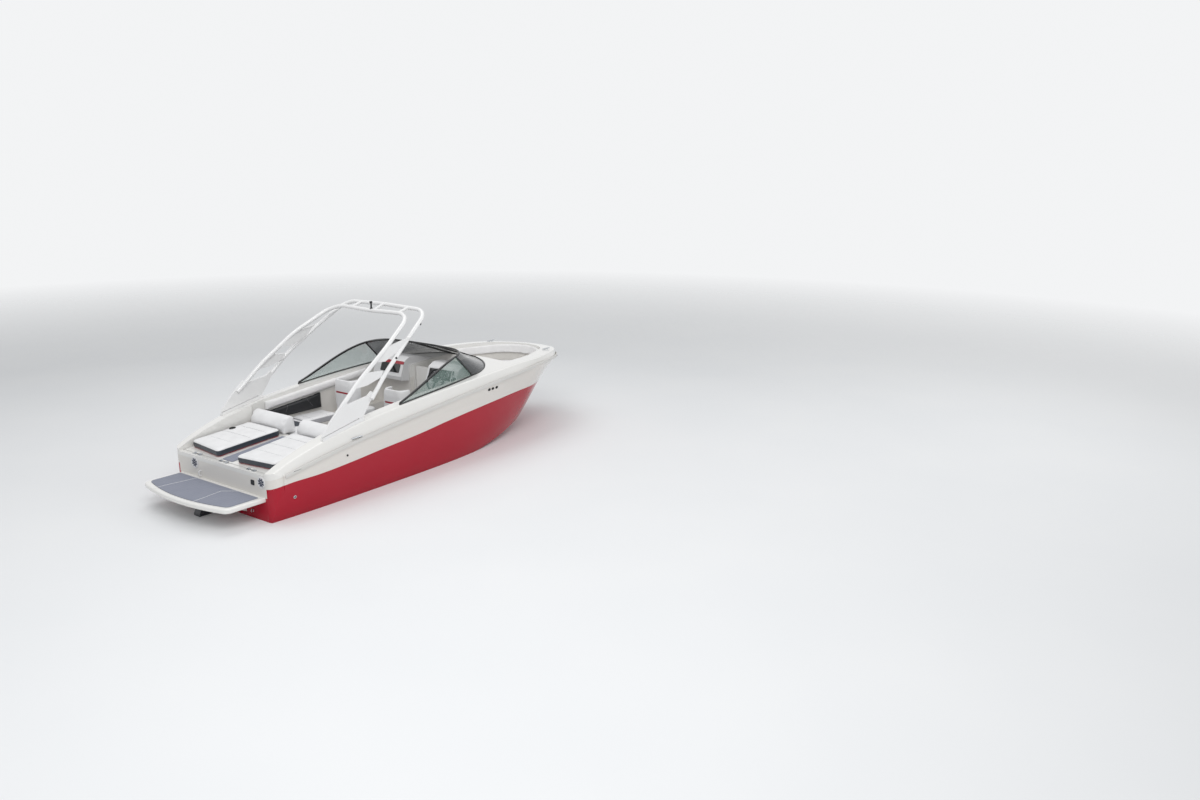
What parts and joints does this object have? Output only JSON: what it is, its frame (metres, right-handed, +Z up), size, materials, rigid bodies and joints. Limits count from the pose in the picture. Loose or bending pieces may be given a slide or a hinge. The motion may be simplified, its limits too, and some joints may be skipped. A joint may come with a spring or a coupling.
{
  "type": "speedboat",
  "caption": "Open bowrider speedboat with a wake tower, sunpads, a swim platform and a sterndrive with contra-rotating propellers.",
  "frame": {"origin": "on the waterline, on the centreline, at the face of the transom", "axes": "+X towards the bow, +Y to port, +Z up"},
  "size_m": [7.8707, 2.63, 3.4149],
  "materials": {
    "hull_gelcoat": "high gloss gelcoat, deep red below a white band",
    "deck_gelcoat": "gloss white gelcoat",
    "rubber_black": "satin",
    "foam_grey": "ribbed foam deck mat",
    "stainless": "polished",
    "vinyl_white": "grained vinyl",
    "vinyl_dark": "grained charcoal vinyl",
    "dash_red": "gloss",
    "black_frame": "satin black",
    "tinted_glass": "tinted",
    "engine_iron": "painted",
    "drive_black": "satin",
    "tower_white": "gloss powder coat",
    "leather_black": "stitched"
  },
  "bodies": {
    "boat": {"hull": "hull_gelcoat", "deck": "deck_gelcoat", "rub_rail": "rubber_black", "swim_platform": "deck_gelcoat", "platform_mat": "foam_grey", "hatch_hinges": "stainless", "bench_cushion": "vinyl_white", "lounge_cushions": "vinyl_dark", "side_backrests": "vinyl_dark", "coaming_bolsters": "vinyl_white", "cockpit_mat": "foam_grey", "seat_pedestals": "stainless", "helm_console": "dash_red", "companion_console": "dash_red", "door_jambs": "deck_gelcoat", "windscreen_frame": "black_frame", "side_glass": "tinted_glass", "front_glass": "tinted_glass", "bow_cushion": "vinyl_white", "bow_bolster": "vinyl_white", "bow_backrests": "vinyl_white", "tower_feet": "black_frame", "cleats": "stainless", "tow_eyes": "stainless", "engine": "engine_iron", "transom_shield": "drive_black"},
    "hatch": {"engine_hatch": "deck_gelcoat", "walkway_tread": "foam_grey", "sunpad_port": "vinyl_white", "sunpad_starboard": "vinyl_white", "aft_backrests": "vinyl_dark"},
    "tower": {"tower": "tower_white", "tower_light": "black_frame"},
    "centre_window": {"centre_window_frame": "black_frame", "centre_window_glass": "tinted_glass"},
    "door": {"walkway_door": "deck_gelcoat"},
    "helm_seat": {"helm_seat": "vinyl_white"},
    "companion_seat": {"companion_seat": "vinyl_white"},
    "wheel": {"steering_wheel": "leather_black"},
    "gimbal": {"gimbal_ring": "drive_black"},
    "drive": {"drive_leg": "drive_black"},
    "trim_barrels": {"trim_barrels": "drive_black"},
    "trim_rods": {"trim_rods": "stainless"},
    "front_propeller": {"front_propeller": "stainless"},
    "rear_propeller": {"rear_propeller": "stainless"}
  },
  "joints": [
    {"name": "hatch_lift", "type": "hinge", "parent": "boat", "child": "hatch", "pos_m": [0.076, 0, 0.672], "axis": [0, -1, 0], "range_deg": [0, 45]},
    {"name": "tower_fold", "type": "hinge", "parent": "boat", "child": "tower", "pos_m": [1.535, 0, 1.1566], "axis": [0, 1, 0], "range_deg": [0, 16]},
    {"name": "centre_window_swing", "type": "hinge", "parent": "boat", "child": "centre_window", "pos_m": [4.9359, 0.267, 1.41794], "axis": [-0.9377, 0, 0.3473], "range_deg": [0, 160]},
    {"name": "door_swing", "type": "hinge", "parent": "boat", "child": "door", "pos_m": [4.0535, 0.2537, 0.9], "axis": [0, 0, 1], "range_deg": [0, 90]},
    {"name": "helm_seat_swivel", "type": "hinge", "parent": "boat", "child": "helm_seat", "pos_m": [2.96, -0.59, 0.64], "axis": [0, 0, 1], "range_deg": [-180, 180]},
    {"name": "companion_seat_swivel", "type": "hinge", "parent": "boat", "child": "companion_seat", "pos_m": [2.96, 0.59, 0.64], "axis": [0, 0, 1], "range_deg": [-180, 180]},
    {"name": "drive_steer", "type": "hinge", "parent": "boat", "child": "gimbal", "pos_m": [-0.15, 0, 0], "axis": [0, 0, 1], "range_deg": [-28, 28]},
    {"name": "wheel_turn", "type": "hinge", "parent": "boat", "child": "wheel", "pos_m": [3.652, -0.59, 1.262], "axis": [-0.9063, 0, 0.4226], "range_deg": [-541, 541]},
    {"name": "drive_tilt", "type": "hinge", "parent": "gimbal", "child": "drive", "pos_m": [-0.15, 0, -0.02], "axis": [0, 1, 0], "range_deg": [-5, 40]},
    {"name": "trim_barrel_swing", "type": "hinge", "parent": "gimbal", "child": "trim_barrels", "pos_m": [-0.175, 0, -0.24], "axis": [0, 1, 0], "range_deg": [-4, 27]},
    {"name": "trim_rod_slide", "type": "slide", "parent": "trim_barrels", "child": "trim_rods", "axis": [-0.9285, 0, 0.3714], "range_m": [-0.018, 0.138]},
    {"name": "front_propeller_spin", "type": "hinge", "parent": "drive", "child": "front_propeller", "pos_m": [-0.594, 0, -0.565], "axis": [1, 0, 0], "continuous": true},
    {"name": "rear_propeller_spin", "type": "hinge", "parent": "drive", "child": "rear_propeller", "pos_m": [-0.662, 0, -0.565], "axis": [1, 0, 0], "continuous": true}
  ],
  "couplings": [
    {"joint": "wheel_turn", "follows": "drive_steer", "ratio": -19.286},
    {"joint": "trim_barrel_swing", "follows": "drive_tilt", "ratio": 0.6734},
    {"joint": "trim_rod_slide", "follows": "drive_tilt", "m_per_rad": 0.1963},
    {"joint": "rear_propeller_spin", "follows": "front_propeller_spin", "ratio": -1}
  ]
}
